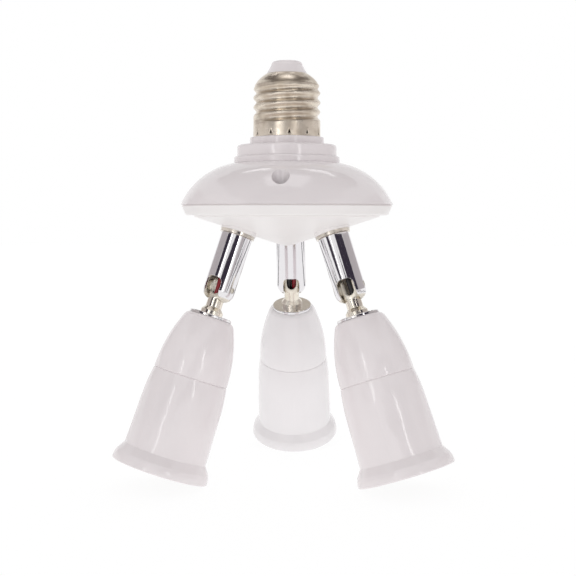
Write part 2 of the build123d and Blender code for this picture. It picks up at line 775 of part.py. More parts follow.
def rising_wire(frame, angle, side, rise_r, top):
    """One lead from the nipple's mouth, over to the axis and straight up into the cap.

    Of an arm's two leads, the one that starts further out climbs higher, so they pass clear.
    """
    around = math.radians(angle)
    radial = Vector(math.cos(around), math.sin(around), 0)
    tangent = Vector(-math.sin(around), math.cos(around), 0)
    shift = frame.y_dir * side * WIRE_OFFSET
    climb = 2.2 * shift.dot(radial)
    spread = math.copysign(LEAD_SPREAD, shift.dot(tangent))
    start = point(frame, 0, side * WIRE_OFFSET, NIPPLE_TOP)
    mouth = start + frame.z_dir * (LEAD_RISE + climb)
    foot = radial * rise_r + tangent * spread + Vector(0, 0, LEAD_FOOT_Z + climb)
    return wire_along([start, mouth, foot, Vector(foot.X, foot.Y, top)], 3.0)


# Leads in the housing: the live ones end on the centre contact, the neutral ones inside the brass ring
for name, side, rise_r, top in (
    ("live_leads", 1, LIVE_RISE_R, CORE_BORE_TOP - 1.2),
    ("neutral_leads", -1, NEUTRAL_RISE_R, NEUTRAL_BAND_Z + 3.0),
):
    with BuildPart() as leads:
        for arm, frame in WIRED.items():
            add(rising_wire(frame, ARMS[arm][0], side, rise_r, top))
    save(leads.part, name)

# The three arms
for arm, frame in FRAMES.items():
    save(make_tube(frame), f"tube_{arm}")
    ring_z = (TUBE_SHOULDER, TUBE_SHOULDER + RING_H)
    ring = [
        (NIPPLE_R + FIT, ring_z[0]),
        (RING_R, ring_z[0]),
        (RING_R, ring_z[1]),
        (NIPPLE_R + FIT, ring_z[1]),
    ]
    save(turned(frame, ring), f"seat_ring_{arm}")
    swivel_nut = make_nut(frame, PAD_TOP + SWIVEL_GAP, SWIVEL_NUT_H, NIPPLE_R, SWIVEL_NUT_FLATS)
    save(swivel_nut, f"swivel_nut_{arm}")
    save(make_pins(frame), f"pivot_pins_{arm}")
    save(make_knuckle(frame), f"knuckle_{arm}")
    washer = [
        (SPIGOT_R + 0.05, FOOT_BASE),
        (WASHER_R - 0.2, FOOT_BASE),
        (WASHER_R, FOOT_BASE - 0.25),
        (WASHER_R, CAP_TOP),
        (SPIGOT_R + 0.05, CAP_TOP),
    ]
    save(turned(frame, washer), f"washer_{arm}")
    nut_top = CAP_TOP - CAP_CEILING
    lock_nut = make_nut(frame, nut_top - LOCK_NUT_H, LOCK_NUT_H, SPIGOT_R, LOCK_NUT_FLATS)
    save(lock_nut, f"lock_nut_{arm}")
    save(make_holder_cap(frame), f"holder_cap_{arm}")
    save(make_holder_sleeve(frame), f"holder_sleeve_{arm}")
    wired = WIRED[arm]
    save(make_contact_base(wired), f"contact_base_{arm}")
    save(make_screw_shell(wired), f"screw_shell_{arm}")
    save(make_tongue(wired), f"contact_tongue_{arm}")
    save(make_rivets(wired), f"contact_rivets_{arm}")
    save(arm_wire(wired, 1, LIVE_RIVET, BASE_TOP + 2.3), f"live_wire_{arm}")
    save(arm_wire(wired, -1, NEUTRAL_RIVET, BASE_TOP + 0.8), f"neutral_wire_{arm}")
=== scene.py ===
# %% [markdown]
# A lamp socket adapter: one screw cap goes into a ceiling socket, and a white saucer splits the supply
# between three arms that swivel and bend, each with its own bulb holder. The measured solids already have
# the right size, so this lesson keeps most of them, gives every one a finish, and rebuilds only the pieces
# whose charm is in a fine surface: the rolled cap, the rolled sockets and the soft wires.

# %% Load the measured solids
import json
import math

import bpy
import numpy as np
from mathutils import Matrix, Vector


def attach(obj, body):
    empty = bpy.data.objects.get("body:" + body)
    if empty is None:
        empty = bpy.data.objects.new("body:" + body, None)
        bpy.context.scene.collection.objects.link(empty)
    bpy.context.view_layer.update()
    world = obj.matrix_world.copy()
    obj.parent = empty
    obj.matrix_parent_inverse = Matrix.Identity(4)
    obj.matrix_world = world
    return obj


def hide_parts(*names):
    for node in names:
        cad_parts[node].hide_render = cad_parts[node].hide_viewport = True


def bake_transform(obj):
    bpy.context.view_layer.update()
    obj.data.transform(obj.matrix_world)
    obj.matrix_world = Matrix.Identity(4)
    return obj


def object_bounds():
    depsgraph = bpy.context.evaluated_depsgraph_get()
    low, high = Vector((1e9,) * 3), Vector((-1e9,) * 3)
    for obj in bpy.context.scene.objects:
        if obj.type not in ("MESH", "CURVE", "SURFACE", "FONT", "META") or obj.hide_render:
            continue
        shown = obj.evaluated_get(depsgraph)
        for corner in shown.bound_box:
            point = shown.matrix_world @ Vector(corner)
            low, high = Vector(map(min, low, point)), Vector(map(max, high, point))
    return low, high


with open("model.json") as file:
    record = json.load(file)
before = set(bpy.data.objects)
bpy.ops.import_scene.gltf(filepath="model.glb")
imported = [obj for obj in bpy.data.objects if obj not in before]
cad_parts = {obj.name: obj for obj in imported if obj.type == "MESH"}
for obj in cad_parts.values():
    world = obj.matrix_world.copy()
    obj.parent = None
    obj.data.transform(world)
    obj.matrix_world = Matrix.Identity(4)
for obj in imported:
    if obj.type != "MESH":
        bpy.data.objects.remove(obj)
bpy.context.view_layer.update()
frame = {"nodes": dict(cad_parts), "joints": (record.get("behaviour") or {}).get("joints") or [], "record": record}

nodes = frame["nodes"]
MM = 0.001

# %% [markdown]
# Every arm has its own frame: up the tube, along the pivot pin, and the way the holder bends. They could be
# worked out again from angles, but the joints already hold them, so they are read from there: the swivel's
# axis runs up the tube and the bend's axis runs along the pin, pointing the other way.

# %% Read the three arms' frames from the joints
joints = {joint["name"]: joint for joint in frame["joints"]}
ARM_NAMES = ("left", "right", "back")


def arm_frame(name):
    """Pivot in metres, then three unit rows: the way the holder bends, along the pin, and up the tube."""
    up = np.array(joints["swivel_" + name]["axis"], float)
    pin = -np.array(joints["bend_" + name]["axis"], float)
    pivot = np.array(joints["bend_" + name]["pos_m"], float)
    return pivot, np.stack([np.cross(pin, up), pin, up])


arms = {name: arm_frame(name) for name in ARM_NAMES}
for name, (pivot, rows) in arms.items():
    print("arm", name, "pivot mm", np.round(pivot / MM, 2), "up", np.round(rows[2], 3))


# %% [markdown]
# Finishes are easier to follow as sums than as a web of boxes. This small class stands for one socket of a
# node tree: adding, multiplying or taking a power of it adds the Math node that does so, and one method
# adds any other node. Fixed numbers never pass through it; they go straight on the shader's own sockets.

# %% A socket that takes part in sums
class Sock:
    """One output in a node tree. Python's operators on it add Math nodes."""

    def __init__(self, tree, socket):
        self.tree = tree
        self.socket = socket

    def node(self, kind, settings=None, inputs=None, out=0):
        """Add any node: its settings first, then each socket's value or link. Gives back one output."""
        made = self.tree.nodes.new("ShaderNode" + kind)
        for name, value in (settings or {}).items():
            setattr(made, name, value)
        for name, value in (inputs or {}).items():
            if isinstance(value, Sock):
                self.tree.links.new(value.socket, made.inputs[name])
            else:
                made.inputs[name].default_value = value
        return Sock(self.tree, made.outputs[out])

    def math(self, operation, first, second):
        """One Math node on two values."""
        return self.node("Math", {"operation": operation}, {0: first, 1: second})

    def __add__(self, other):
        return self.math("ADD", self, other)

    def __radd__(self, other):
        return self.math("ADD", other, self)

    def __sub__(self, other):
        return self.math("SUBTRACT", self, other)

    def __rsub__(self, other):
        return self.math("SUBTRACT", other, self)

    def __mul__(self, other):
        return self.math("MULTIPLY", self, other)

    def __rmul__(self, other):
        return self.math("MULTIPLY", other, self)

    def __pow__(self, other):
        return self.math("POWER", self, other)


# %% The few nodes that every finish uses
def paint(red, green, blue):
    """A colour as it looks on screen, from 0 to 255, as the linear numbers that Blender keeps."""
    seen = np.array([red, green, blue], float) / 255
    linear = np.where(seen <= 0.04045, seen / 12.92, ((seen + 0.055) / 1.055) ** 2.4)
    return (*linear.tolist(), 1.0)


def grain(place, size, detail=2.0):
    """Soft noise whose lumps are about size metres across."""
    inputs = {"Vector": place, "Scale": 1 / size, "Detail": detail}
    return place.node("TexNoise", {"noise_dimensions": "3D"}, inputs, out="Fac")


def between(factor, low, high):
    """Where factor lies from low to high, eased, from 0 to 1."""
    inputs = {"Value": factor, "From Min": low, "From Max": high}
    return factor.node("MapRange", {"interpolation_type": "SMOOTHSTEP"}, inputs)


def tint(factor, first, second):
    """Mix of two colours."""
    return factor.node("Mix", {"data_type": "RGBA"}, {0: factor, 6: first, 7: second}, out=2)


def eased_edge(place, radius):
    """A normal that rounds hard edges off over a small radius, and a mask of where it does."""
    eased = place.node("Bevel", {"samples": 4}, {"Radius": radius})
    true = place.node("NewGeometry", out="Normal")
    level = place.node("VectorMath", {"operation": "DOT_PRODUCT"}, {0: eased, 1: true}, out="Value")
    return eased, between(1 - level, 0.01, 0.2)


def relief(height, depth, normal):
    """Bump of depth metres on top of a normal."""
    inputs = {"Height": height, "Distance": depth, "Strength": 1.0, "Normal": normal}
    return height.node("Bump", None, inputs)


def finish(name, constants, recipe):
    """A material: constants go straight on the shader, and recipe gives what changes over the surface."""
    material = bpy.data.materials.new(name)
    material.use_nodes = True
    tree = material.node_tree
    shader = tree.nodes["Principled BSDF"]
    for socket, value in constants.items():
        shader.inputs[socket].default_value = value
    place = Sock(tree, tree.nodes.new("ShaderNodeTexCoord").outputs["Object"])
    for socket, value in recipe(place).items():
        tree.links.new(value.socket, shader.inputs[socket])
    return material


# %% [markdown]
# The housing and holders are injection mouldings in a white that leans a little to pink. Fresh from the
# mould such a skin is glossy but never quite flat: it has a faint orange peel, a slow drift in tone from
# the pigment, and edges that the mould rounds off. A flat white would look like plaster, so the gloss and
# the peel carry the look and the colour hardly moves. The lower cover has a softer sheen than the rest and
# is painted a little lighter, as painted light from the glowing table under it. The back holder takes a
# paler copy of the white: painted light for the lit wall it stands nearer to.

# %% Moulded white plastic
WHITE = paint(243, 236, 237)
WHITE_DRIFT = paint(238, 231, 232)
# A paler copy of the white for the back holder: painted light.
LIT_WHITE = paint(250, 247, 248)
LIT_WHITE_DRIFT = paint(246, 243, 244)
# The lower cover's white is a little lighter than the rest: painted light from the glowing table under it.
COVER = paint(244, 240, 239)
COVER_DRIFT = paint(240, 236, 235)
POLISHED = 0.08
SOFT_SHEEN = 0.3
DRIFT_LUMP = 30 * MM
HAZE_LUMP = 9 * MM
SINK_LUMP = 8 * MM
SINK_DEPTH = 0.26 * MM
PEEL_LUMP = 1.4 * MM
PEEL_SHARE = 0.02
MOULD_EDGE = 0.25 * MM
resin = {"IOR": 1.5}


def moulded(bright, drifted, gloss):
    """Tone drifts slowly, gloss a little faster; the skin sinks in soft waves with a fine peel on them.

    roughness = gloss + 0.07 haze + 0.06 edge, and height = (sink + 0.02 peel) times the sinks' depth.
    """
    def recipe(place):
        drift = grain(place, DRIFT_LUMP)
        haze = grain(place, HAZE_LUMP, 3.0)
        sink = grain(place, SINK_LUMP, 1.0)
        peel = grain(place, PEEL_LUMP, 1.0)
        eased, edge = eased_edge(place, MOULD_EDGE)
        return {
            "Base Color": tint(between(drift, 0.3, 0.75), bright, drifted),
            "Roughness": gloss + 0.07 * haze + 0.06 * edge,
            "Normal": relief(sink + PEEL_SHARE * peel, SINK_DEPTH, eased),
        }
    return recipe


white_plastic = finish("moulded_white", resin, moulded(WHITE, WHITE_DRIFT, POLISHED))
lit_white_plastic = finish("moulded_white_painted_light", resin, moulded(LIT_WHITE, LIT_WHITE_DRIFT, POLISHED))
cover_plastic = finish("moulded_cover_white", resin, moulded(COVER, COVER_DRIFT, SOFT_SHEEN))
print("made", white_plastic.name, lit_white_plastic.name, cover_plastic.name)


# %% [markdown]
# Three metals show. The cap, rings and knuckles are nickel plate, which is warmer than chrome and keeps
# fine lines from rolling or turning; the tubes are bright chrome, nearly a mirror but slightly wavy; the
# hidden nuts and the screws are zinc. Lines run round each piece's own axis, so the recipe takes the axis
# and works out height and radius from it: noise read at (radius, height) has the same value all the way
# round, which is just what a tool leaves on turned work.

# %% Turned and rolled metal
def about_axis(place, origin, axis):
    """Height along an axis and distance from it, in metres, for each point of the surface.

    With v from the origin to the point: height = v . axis and radius = (|v|^2 - height^2)^0.5.
    """
    away = place.node("VectorMath", {"operation": "SUBTRACT"}, {0: place, 1: tuple(origin)})
    both = {0: away, 1: tuple(axis)}
    height = place.node("VectorMath", {"operation": "DOT_PRODUCT"}, both, out="Value")
    length = place.node("VectorMath", {"operation": "LENGTH"}, {0: away}, out="Value")
    inside = place.math("MAXIMUM", length * length - height * height, 0.0)
    return height, inside ** 0.5


def tool_lines(place, origin, axis, pitch):
    """Noise that only changes with height and radius, so it rings the axis like a tool mark."""
    height, radius = about_axis(place, origin, axis)
    spot = place.node("CombineXYZ", None, {"X": height, "Y": radius, "Z": 0.0})
    return grain(spot, pitch, 3.0)


NICKEL = paint(230, 223, 213)
NICKEL_DULL = paint(198, 188, 176)
CAP_PLATE = paint(228, 217, 202)
CAP_PLATE_DULL = paint(186, 170, 150)
SATIN = paint(240, 233, 220)
SATIN_DULL = paint(216, 205, 188)
STAKE_SHADE = paint(44, 36, 33)
UP = (0.0, 0.0, 1.0)
ORIGIN = (0.0, 0.0, 0.0)
CLOUD_LUMP = 5 * MM
TURNED_PITCH = 0.25 * MM
TURNED_DEPTH = 0.004 * MM
PLATE_EDGE = 0.22 * MM
TURNED = 0.13
ROLLED = 0.24
BURNISHED = 0.12
MIRROR = 0.05


def nickel_about(origin, axis, bright, dull, smooth):
    """Warm plate with fine turned lines, duller in cloudy patches and brighter on edges.

    roughness = smooth + 0.1 cloud + 0.07 lines.
    """
    def recipe(place):
        cloud = between(grain(place, CLOUD_LUMP, 4.0), 0.42, 0.72)
        lines = tool_lines(place, origin, axis, TURNED_PITCH)
        eased, edge = eased_edge(place, PLATE_EDGE)
        return {
            "Base Color": tint(cloud * 0.55 * (1 - edge), bright, dull),
            "Roughness": smooth + 0.1 * cloud + 0.07 * lines,
            "Normal": relief(lines, TURNED_DEPTH, eased),
        }
    return recipe


def cap_plate(place):
    """The cap's plate is softer than turned work, and the punched stakes are painted dark: painted shade in the
    dents.
    """
    made = nickel_about(ORIGIN, UP, CAP_PLATE, CAP_PLATE_DULL, ROLLED)(place)
    punched = place.node("Attribute", {"attribute_name": "punched"}, out="Fac")
    # Painted shade: the base colour darkens as the stakes' dents get deeper.
    made["Base Color"] = tint(between(punched, 0.08, 0.5), made["Base Color"], STAKE_SHADE)
    return made


DISH = 2.8
EAR_FOOT = -5.0 * MM
EAR_FULL = -3.5 * MM
EAR_TUMBLE = 1.3 * MM
EAR_SATIN = 0.2


def knuckle_about(origin, axis, mouth):
    """Bright turned neck; the ears above it are tumbled satin, dished towards the slot's mouth.

    normal = unit of (tumbled normal + DISH times the mouth's way), which turns with the piece.
    """
    def recipe(place):
        made = nickel_about(origin, axis, SATIN, SATIN_DULL, BURNISHED)(place)
        height = about_axis(place, origin, axis)[0]
        ears = between(height, EAR_FOOT, EAR_FULL)
        tumbled = eased_edge(place, EAR_TUMBLE)[0]
        way = {"vector_type": "VECTOR", "convert_from": "OBJECT", "convert_to": "WORLD"}
        turned = place.node("VectorTransform", way, {0: tuple(mouth * DISH)})
        dished = place.node("VectorMath", {"operation": "ADD"}, {0: tumbled, 1: turned})
        level = place.node("VectorMath", {"operation": "NORMALIZE"}, {0: dished})
        normals = {0: ears, 4: made["Normal"], 5: level}
        made["Normal"] = ears.node("Mix", {"data_type": "VECTOR"}, normals, out=1)
        made["Metallic"] = 1 - EAR_SATIN * ears
        made["Roughness"] = made["Roughness"] + EAR_SATIN * ears
        return made
    return recipe


CHROME = paint(236, 234, 236)
CHROME_DULL = paint(210, 207, 211)
RIPPLE_LUMP = 4.5 * MM
RIPPLE_DEPTH = 0.02 * MM
PIT_LUMP = 0.35 * MM
BREATH_LUMP = 7 * MM
POLISH_PITCH = 0.4 * MM
CHROME_EDGE = 0.2 * MM
BORE_R = 5.2 * MM
BORE_CLEAR_R = 5.5 * MM


def chrome_about(origin, axis):
    """A mirror with a slow ripple along the tube, fine pits and a breath of haze; the bore is left dull and
    painted cream, a painted reflection of the nickel inside it.

    roughness = 0.03 + 0.05 haze + 0.12 pits + 0.02 lines + 0.05 edge + 0.3 bore.
    """
    def recipe(place):
        ripple = grain(place, RIPPLE_LUMP, 1.0)
        pits = between(grain(place, PIT_LUMP, 2.0), 0.66, 0.8)
        haze = grain(place, BREATH_LUMP, 3.0)
        lines = tool_lines(place, origin, axis, POLISH_PITCH)
        eased, edge = eased_edge(place, CHROME_EDGE)
        radius = about_axis(place, origin, axis)[1]
        bore = 1 - between(radius, BORE_R, BORE_CLEAR_R)
        plate = tint(pits * 0.6 + 0.15 * haze, CHROME, CHROME_DULL)
        return {
            # Painted reflection: the bore takes the knuckle's cream instead of chrome, so the inside of the slot
            # reads lighter.
            "Base Color": tint(bore, plate, SATIN),
            "Metallic": 1 - 0.95 * bore,
            "Roughness": 0.03 + 0.05 * haze + 0.12 * pits + 0.02 * lines + 0.05 * edge + 0.3 * bore,
            "Normal": relief(ripple + 0.03 * pits, RIPPLE_DEPTH, eased),
        }
    return recipe


metal = {"Metallic": 1.0}
cap_nickel = finish("rolled_nickel_cap", metal, cap_plate)
arm_nickel = {}
arm_chrome = {}
knuckle_satin = {}
washer_polish = {}
for name, (pivot, rows) in arms.items():
    along = rows[2]
    turned = nickel_about(pivot, along, NICKEL, NICKEL_DULL, TURNED)
    polished = nickel_about(pivot, along, CHROME, NICKEL, MIRROR)
    arm_nickel[name] = finish("turned_nickel_" + name, metal, turned)
    arm_chrome[name] = finish("bright_chrome_" + name, metal, chrome_about(pivot, along))
    knuckle_satin[name] = finish("satin_nickel_" + name, metal, knuckle_about(pivot, along, rows[0]))
    washer_polish[name] = finish("polished_washer_" + name, metal, polished)
print("made", 1 + 4 * len(arms), "plated finishes")

# %% [markdown]
# The rest is plainer: zinc on the screws and hidden nuts, stamped brass for the contacts, pressed porcelain
# under them, and a soft skin on the wires. One recipe serves all five. It mixes two tones and two gloss
# levels by the same cloudy noise, because what dulls a surface also darkens it, and keeps edges rubbed.

# %% Zinc, brass, porcelain and the wires' skins
ZINC = paint(196, 198, 202)
ZINC_DULL = paint(150, 152, 158)
BRASS = paint(214, 178, 110)
BRASS_DULL = paint(160, 122, 70)
PORCELAIN = paint(236, 231, 220)
PORCELAIN_DULL = paint(214, 205, 190)
RED = paint(158, 30, 44)
RED_DULL = paint(118, 20, 34)
BLACK = paint(30, 27, 32)
BLACK_DULL = paint(48, 44, 50)
WORN_EDGE = 0.18 * MM
FINER = 9


def worn(bright, dull, smooth, rough, lump, depth):
    """Two tones and two roughnesses mixed by cloudy noise, with a grain nine times finer in relief."""
    def recipe(place):
        cloud = between(grain(place, lump, 4.0), 0.35, 0.7)
        fine = grain(place, lump / FINER, 2.0)
        eased, edge = eased_edge(place, WORN_EDGE)
        return {
            "Base Color": tint(cloud * (1 - 0.6 * edge), bright, dull),
            "Roughness": smooth + (rough - smooth) * cloud,
            "Normal": relief(fine, depth, eased),
        }
    return recipe


plated = worn(ZINC, ZINC_DULL, smooth=0.22, rough=0.4, lump=2.5 * MM, depth=0.004 * MM)
stamped = worn(BRASS, BRASS_DULL, smooth=0.2, rough=0.38, lump=3 * MM, depth=0.005 * MM)
pressed = worn(PORCELAIN, PORCELAIN_DULL, smooth=0.35, rough=0.6, lump=3.5 * MM, depth=0.02 * MM)
red_soft = worn(RED, RED_DULL, smooth=0.3, rough=0.45, lump=2 * MM, depth=0.01 * MM)
black_soft = worn(BLACK, BLACK_DULL, smooth=0.3, rough=0.45, lump=2 * MM, depth=0.01 * MM)
zinc = finish("bright_zinc", metal, plated)
brass = finish("stamped_brass", metal, stamped)
porcelain = finish("pressed_porcelain", resin, pressed)
red_skin = finish("red_wire_skin", resin, red_soft)
black_skin = finish("black_wire_skin", resin, black_soft)
print("made", zinc.name, brass.name, porcelain.name, red_skin.name, black_skin.name)

# %% [markdown]
# Each solid already names the kind of stuff it is made of. Handing out the finishes is then one rule for
# each kind, and plated pieces take the finish whose lines run round their own arm.

# %% Dress the solids
plain = {
    "white_plastic": white_plastic,
    "steel": zinc,
    "brass": brass,
    "ceramic": porcelain,
    "red_insulation": red_skin,
    "black_insulation": black_skin,
}


def finish_for(node, kind):
    """The finish of a solid: by its kind, and for plated pieces by its arm too."""
    piece, arm = node.rsplit("_", 1)
    if piece in ("knuckle", "pivot_pins"):
        return knuckle_satin[arm]
    if piece == "washer":
        return washer_polish[arm]
    if node == "lower_cover":
        return cover_plastic
    # Painted light: the back holder takes the paler copy of the white, for the lit wall it stands nearer to.
    if arm == "back" and kind == "white_plastic":
        return lit_white_plastic
    if kind == "nickel":
        return arm_nickel.get(arm, cap_nickel)
    if kind == "chrome":
        return arm_chrome[arm]
    return plain[kind]


for part in frame["record"]["subparts"]:
    solid = nodes[part["node"]]
    solid.data.materials.clear()
    solid.data.materials.append(finish_for(part["node"], part["material_slot"]))


# %% [markdown]
# The three kinds of new piece are all tubes of some sort: rows of points that close on themselves. One
# helper turns a grid of points into a mesh, so that each piece only has to say where its points are.

# %% From a grid of points to a mesh
def outward(points):
    """Six times the volume inside the grid's quads: the sum of a x b . c + a x c . d over corners a to d.

    It is positive if the quads face outwards.
    """
    a = points[:-1]
    b = np.roll(points, -1, axis=1)[:-1]
    c = np.roll(points, -1, axis=1)[1:]
    d = points[1:]
    return float((np.cross(a, b) * c).sum() + (np.cross(a, c) * d).sum())


def skin(name, points, material, close_rows=False):
    """A mesh over points[row, column]: columns close round the piece; rows may close as well.

    Open rows are finished with one flat face at each end. Quads are found by whole-array steps.
    """
    rows, columns = points.shape[:2]
    index = np.arange(rows * columns).reshape(rows, columns)
    lower = index if close_rows else index[:-1]
    upper = np.roll(index, -1, axis=0) if close_rows else index[1:]
    quads = np.stack([lower, np.roll(lower, -1, 1), np.roll(upper, -1, 1), upper], -1)
    quads = quads.reshape(-1, 4).tolist()
    if not close_rows:
        quads = quads + [index[0][::-1].tolist(), index[-1].tolist()]
    mesh = bpy.data.meshes.new(name)
    mesh.from_pydata(points.reshape(-1, 3), [], quads)
    mesh.polygons.foreach_set("use_smooth", np.ones(len(mesh.polygons), bool))
    mesh.materials.append(material)
    mesh.update()
    piece = bpy.data.objects.new(name, mesh)
    bpy.context.scene.collection.objects.link(piece)
    if outward(points) < 0:
        mesh.flip_normals()
    print(name, "faces", len(mesh.polygons))
    return piece


def smooth_step(x):
    """A smooth step from 0 to 1 as x goes from 0 to 1: x x (3 - 2 x)."""
    x = np.clip(x, 0, 1)
    return x * x * (3 - 2 * x)


# %% [markdown]
# The cap is thin brass sheet, rolled between two dies while it spins, then nickel plated. The thread is a
# soft wave that climbs as it goes round: at height z and angle a the radius is the mean plus half the depth
# times the cosine of (a less the turn made so far). One groove runs between each two crests, so counting
# crests tells how far round its groove has come: it starts at the left, over the plain skirt, is full depth
# a fifth of a turn later, and fades again under the cone. Around the skirt eleven punch strokes stake the
# sheet to the plastic: each is a small triangle, pushed in deepest at its point, ringed by a faint lip.
# Columns of points crowd together at the stakes, and rows at the skirt, where the finest shapes are.

# %% The cap's measures
THREAD_R = 13.1 * MM
PITCH = 3.629 * MM
DEPTH = 1.095 * MM
SHEET = 0.4 * MM
THREAD_START = 2.6 * MM
THREAD_TOP = 20.6 * MM
CONE_FOOT = 20.3 * MM
CONE_FOOT_R = 12.35 * MM
CONE_SWELL = 0.68 * MM
SHOULDER_TOP = 24.7 * MM
MOUTH_R = 8.0 * MM
RUN_IN = 1.3
FADE_TOP = THREAD_TOP - 0.2 * MM
FADE_OVER = 2.2 * MM
STAKES = 11
STAKE_TURN = math.radians(278)
STAKE_Z = 1.68 * MM
STAKE_HALF = 0.97 * MM
STAKE_TALL = 1.45 * MM
STAKE_DEEP = 0.6 * MM
STAKE_LIP = 0.14
LIP_WIDE = 0.16


def stake_dent(angle, z):
    """How far the skirt is pushed in: a triangle, deepest at its point, ringed by a low lip.

    slant = max(1.15 |across| + 0.75 rise - 0.55, -rise - 0.85) is 0 on the triangle and below 0 inside it;
    the pit deepens by rise, and the lip is a bell over slant with its top just outside the triangle.
    """
    step = 2 * math.pi / STAKES
    across = (np.mod(angle - STAKE_TURN + step / 2, step) - step / 2) * THREAD_R / STAKE_HALF
    rise = (z - STAKE_Z) / STAKE_TALL
    slant = np.maximum(np.abs(across) * 1.15 + rise * 0.75 - 0.55, -rise - 0.85)
    pit = smooth_step(-slant / 0.4) * (0.6 + 0.5 * np.clip(rise, -1, 1))
    lip = np.exp(-((slant - LIP_WIDE) / LIP_WIDE) ** 2) * smooth_step(1.6 - np.abs(across)) * STAKE_LIP
    return STAKE_DEEP * (pit - lip)


def thread_wave(angle, z):
    """From 1 on a crest to -1 in a groove, and 1 all along where the groove has not begun.

    wave = 1 - (1 - cos(angle - turn)) begun, with turn = 2 pi (z - start) / pitch.
    """
    turn = 2 * math.pi * (z - THREAD_START) / PITCH
    crest = np.floor((turn - angle) / (2 * math.pi))
    gone_round = angle + 2 * math.pi * crest - math.pi
    begun = smooth_step(gone_round / RUN_IN)
    return 1 - (1 - np.cos(angle - turn)) * begun


def cap_radius(angle, z):
    """Radius of the rolled sheet: plain skirt, thread, and a cone that swells a little, less the dents.

    thread = mean + depth / 2 wave fade; cone = foot + (mouth - foot) t + 4 swell t (1 - t).
    """
    mean = THREAD_R - DEPTH / 2
    fade = smooth_step((FADE_TOP - z) / FADE_OVER)
    body = mean + DEPTH / 2 * thread_wave(angle, z) * fade
    climb = np.clip((z - CONE_FOOT) / (SHOULDER_TOP - CONE_FOOT), 0, 1)
    cone = CONE_FOOT_R + (MOUTH_R - CONE_FOOT_R) * climb + 4 * CONE_SWELL * climb * (1 - climb)
    return np.where(climb > 0, np.minimum(body, cone), body) - stake_dent(angle, z)


# %% Roll the cap
COLUMNS = 320
CROWD = 0.055
FOOT_ROUND = 0.12 * MM
FOOT_Z = 0.02 * MM
SKIRT_TOP = 3.4 * MM
ROW_GAP = 0.1 * MM
THREAD_ROWS_FROM = 3.5 * MM
INNER_FOOT = 0.05 * MM
INNER_RISE = 0.15 * MM
around = np.linspace(0, 2 * math.pi, COLUMNS, endpoint=False)
around = around - CROWD * np.sin(STAKES * (around - STAKE_TURN))
skirt_rows = np.linspace(FOOT_ROUND, SKIRT_TOP, 44)
thread_rows = np.linspace(THREAD_ROWS_FROM, CONE_FOOT - ROW_GAP, 130)
crown_rows = np.linspace(CONE_FOOT, SHOULDER_TOP, 26)
heights = np.concatenate([skirt_rows, thread_rows, crown_rows])
angle_grid, z_grid = np.meshgrid(around, heights)
outer_r = cap_radius(angle_grid, z_grid)
foot_r = np.broadcast_to(THREAD_R - FOOT_ROUND, (1, COLUMNS))
inner_z = np.linspace(SHOULDER_TOP - SHEET, INNER_FOOT, 60)
inner_angle, inner_grid = np.meshgrid(around, inner_z)
inner_r = np.maximum(cap_radius(inner_angle, inner_grid + INNER_RISE) - SHEET, MOUTH_R)
radius = np.concatenate([foot_r, outer_r, inner_r])
height = np.concatenate([np.full((1, COLUMNS), FOOT_Z), z_grid, inner_grid])
turn_grid = np.broadcast_to(around, radius.shape)
cap_points = np.stack([radius * np.cos(turn_grid), radius * np.sin(turn_grid), height], -1)
rolled_cap = skin("rolled_cap", cap_points, cap_nickel, close_rows=True)
punched = rolled_cap.data.attributes.new("punched", "FLOAT", "POINT")
punched.data.foreach_set("value", (stake_dent(turn_grid, height) / STAKE_DEEP).ravel())
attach(rolled_cap, "housing")
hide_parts("cap_shell")
print("cap height mm", round((heights[-1] - heights[0]) / MM, 2))

# %% [markdown]
# Inside each holder sits the matching socket shell, rolled from thinner sheet. It is the cap's wave turned
# inside out: the same pitch, a little larger all round so that a bulb turns freely, and bulging inwards
# between two plain ends. Looking up into a holder this is what catches the light.

# %% Roll the three socket shells
SOCKET_R = 13.28 * MM
SOCKET_SHEET = 0.3 * MM
SOCKET_TOP = -49.0 * MM
SOCKET_STEP = -55.0 * MM
SOCKET_END = -67.0 * MM
SOCKET_NECK_R = 12.4 * MM
SOCKET_MOUTH_R = 6.9 * MM
SOCKET_DEPTH = 1.0 * MM
SOCKET_COLUMNS = 160
STEP_BELOW = 0.4 * MM
STEP_OVER = 0.7 * MM
FADE_AT_STEP = 1.2 * MM
FADE_AT_END = 1.6 * MM
LIP_THICK = 0.4 * MM


def socket_radius(angle, z):
    """Inner radius: the neck, then the root radius less a wave that fades at both ends.

    wave = depth (1 + cos(angle - turn)) / 2 fade, with turn = 2 pi z / pitch.
    """
    turn = 2 * math.pi * z / PITCH
    fade = smooth_step((SOCKET_STEP - STEP_BELOW - z) / FADE_AT_STEP)
    fade = fade * smooth_step((z - SOCKET_END) / FADE_AT_END)
    wave = SOCKET_DEPTH * (0.5 + 0.5 * np.cos(angle - turn)) * fade
    neck = smooth_step((z - SOCKET_STEP + STEP_BELOW) / STEP_OVER)
    return SOCKET_R - wave - (SOCKET_R - SOCKET_NECK_R) * neck


